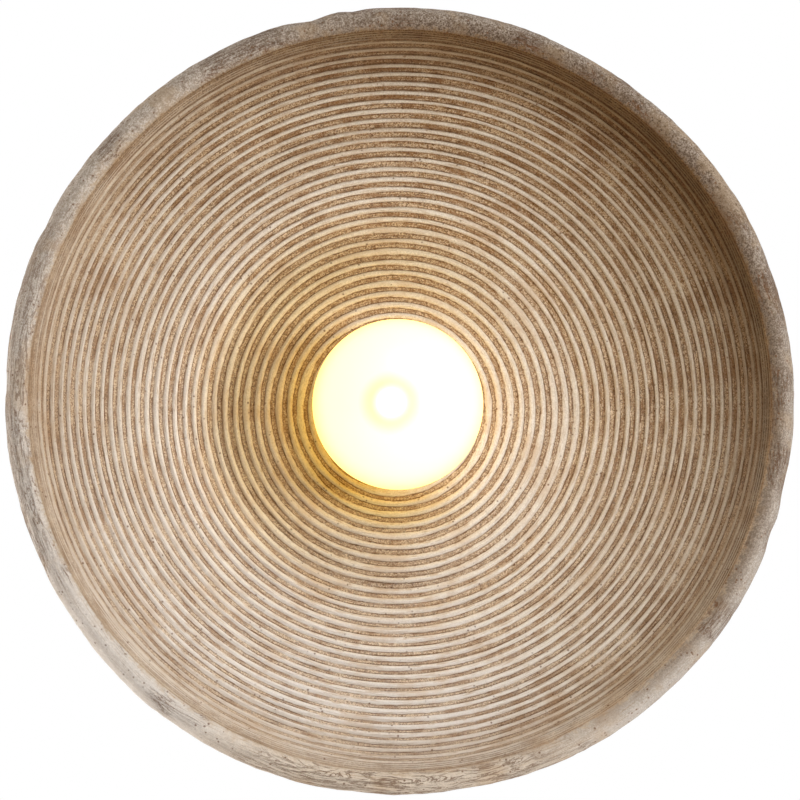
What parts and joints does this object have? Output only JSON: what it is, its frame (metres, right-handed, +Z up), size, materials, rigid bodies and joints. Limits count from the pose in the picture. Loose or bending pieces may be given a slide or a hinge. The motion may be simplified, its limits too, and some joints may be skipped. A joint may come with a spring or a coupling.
{
  "type": "wall lantern",
  "caption": "Round ribbed cast-stone dish wall light with a screw-in opal glass globe over a push-in bulb, on a round steel wall pan.",
  "frame": {"origin": "centre of the wall bracket's cable hole, on the wall plane", "axes": "+Z up, +Y into the wall, so the light faces -Y; +X to the right as seen from the front"},
  "size_m": [0.3659, 0.119, 0.366],
  "materials": {
    "cast_stone": "rough",
    "opal_glass": "satin",
    "collar_metal": "satin",
    "silicone": "matte",
    "holder_metal": "satin",
    "lampholder_ceramic": "matte",
    "contact_metal": "satin",
    "zinc_steel": "satin",
    "screw_steel": "satin",
    "nut_steel": "satin",
    "bulb_plastic": "satin",
    "pin_metal": "polished",
    "bulb_core_board": "matte",
    "led": "satin",
    "bulb_frost": "satin",
    "black_rubber": "matte",
    "pan_paint": "matte",
    "foam": "matte",
    "block_plastic": "satin",
    "brown_wire": "satin",
    "blue_wire": "satin",
    "earth_wire": "satin",
    "tinned_copper": "satin",
    "brass_screw": "satin"
  },
  "bodies": {
    "dish": {"stone_dish": "cast_stone", "globe_holder": "holder_metal", "lampholder": "lampholder_ceramic", "lampholder_contacts": "contact_metal", "lampholder_bracket": "zinc_steel", "lampholder_screws": "screw_steel", "centre_tube": "zinc_steel", "front_nut": "nut_steel", "rear_nut": "nut_steel", "rear_washer": "zinc_steel", "front_pad": "black_rubber", "rear_pad": "black_rubber", "back_pan": "pan_paint", "pan_gasket": "foam", "pan_screws": "screw_steel", "wall_bracket": "zinc_steel", "terminal_block": "block_plastic", "terminal_screws": "screw_steel", "block_screw": "screw_steel", "live_lead": "brown_wire", "neutral_lead": "blue_wire", "earth_lead": "earth_wire", "earth_lug": "tinned_copper", "earth_screw": "brass_screw"},
    "seal": {"globe_seal": "silicone"},
    "globe": {"globe_glass": "opal_glass", "globe_collar": "collar_metal"},
    "bulb": {"bulb_base": "bulb_plastic", "bulb_pins": "pin_metal", "bulb_core": "bulb_core_board", "bulb_leds": "led", "bulb_dome": "bulb_frost"}
  },
  "joints": [
    {"name": "globe_advance", "type": "slide", "parent": "dish", "child": "seal", "axis": [0, -1, 0], "range_m": [0, 0.008]},
    {"name": "globe_turn", "type": "hinge", "parent": "seal", "child": "globe", "pos_m": [0, -0.079, 0], "axis": [0, -1, 0], "range_deg": [0, 720]},
    {"name": "bulb_pull", "type": "slide", "parent": "dish", "child": "bulb", "axis": [0, -1, 0], "range_m": [0, 0.01]}
  ],
  "couplings": [
    {"joint": "globe_advance", "follows": "globe_turn", "m_per_rad": 0.0006366}
  ]
}
